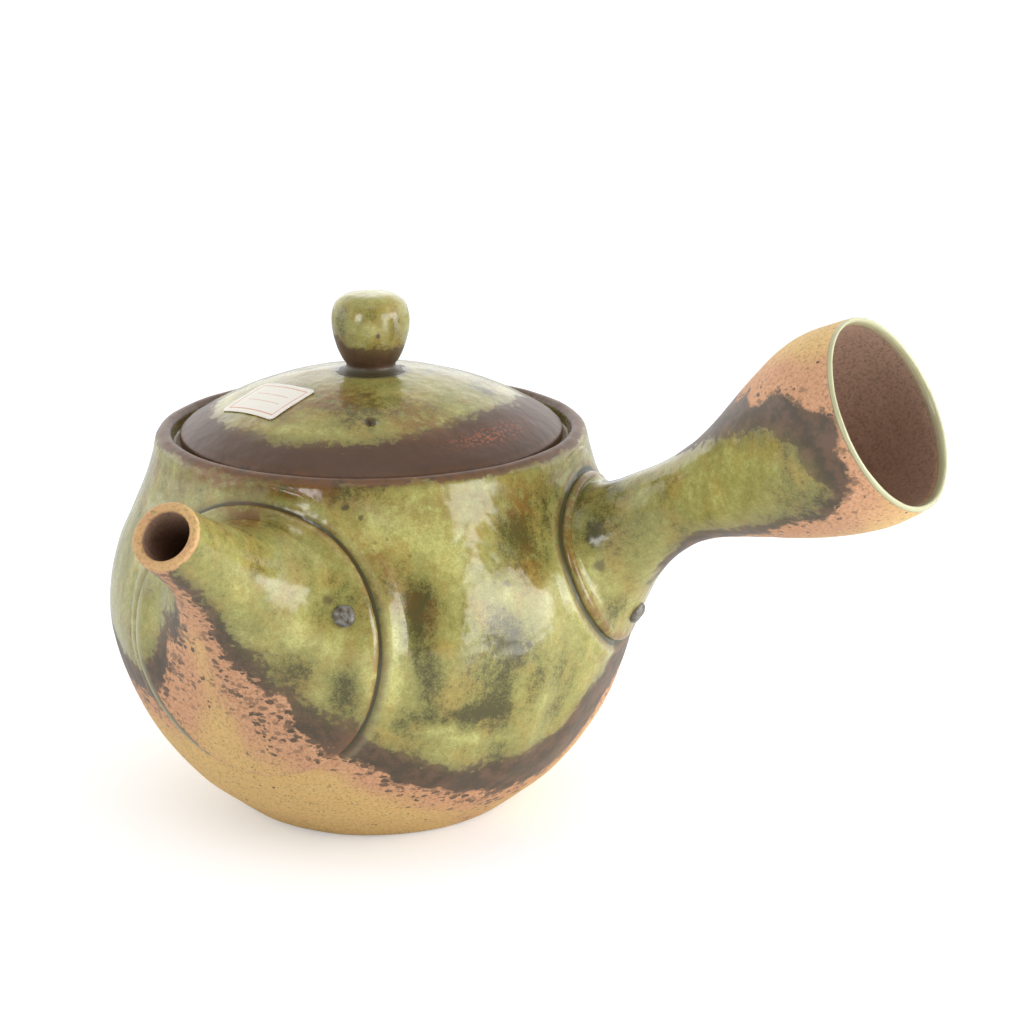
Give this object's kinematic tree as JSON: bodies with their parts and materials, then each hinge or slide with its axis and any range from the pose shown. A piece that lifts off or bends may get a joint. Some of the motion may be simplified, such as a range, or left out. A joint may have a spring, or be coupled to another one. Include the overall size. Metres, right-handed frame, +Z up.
{
  "type": "side-handled teapot",
  "caption": "Small round glazed stoneware teapot with a short spout, a hollow flared side handle at a right angle to it, an inner strainer and a domed lid with a knob.",
  "frame": {"origin": "centre of the foot, on the plane the pot stands on", "axes": "+Z up, the spout points along -Y and the handle along +X"},
  "size_m": [0.1744, 0.1354, 0.1109],
  "materials": {
    "ash_glaze": "glossy, mottled olive and brown",
    "bare_clay": "unglazed, fine grained",
    "dark_glaze": "glossy, nearly black",
    "label_paper": "matt, blank"
  },
  "bodies": {
    "pot": {"pot_body": "ash_glaze", "spout": "ash_glaze", "spout_joint": "ash_glaze", "strainer_screen": "bare_clay", "handle": "ash_glaze", "handle_joint": "ash_glaze", "spout_pellet": "dark_glaze", "handle_pellet": "dark_glaze"},
    "lid_seat_ring": {"lid_collar": "bare_clay"},
    "lid": {"lid": "ash_glaze", "knob": "ash_glaze", "paper_label": "label_paper"}
  },
  "joints": [
    {"name": "lid_lift", "type": "slide", "parent": "pot", "child": "lid_seat_ring", "axis": [0, 0, 1], "range_m": [0, 0.06]},
    {"name": "lid_turn", "type": "hinge", "parent": "lid_seat_ring", "child": "lid", "pos_m": [0, 0, 0.0765], "axis": [0, 0, 1], "continuous": true}
  ]
}
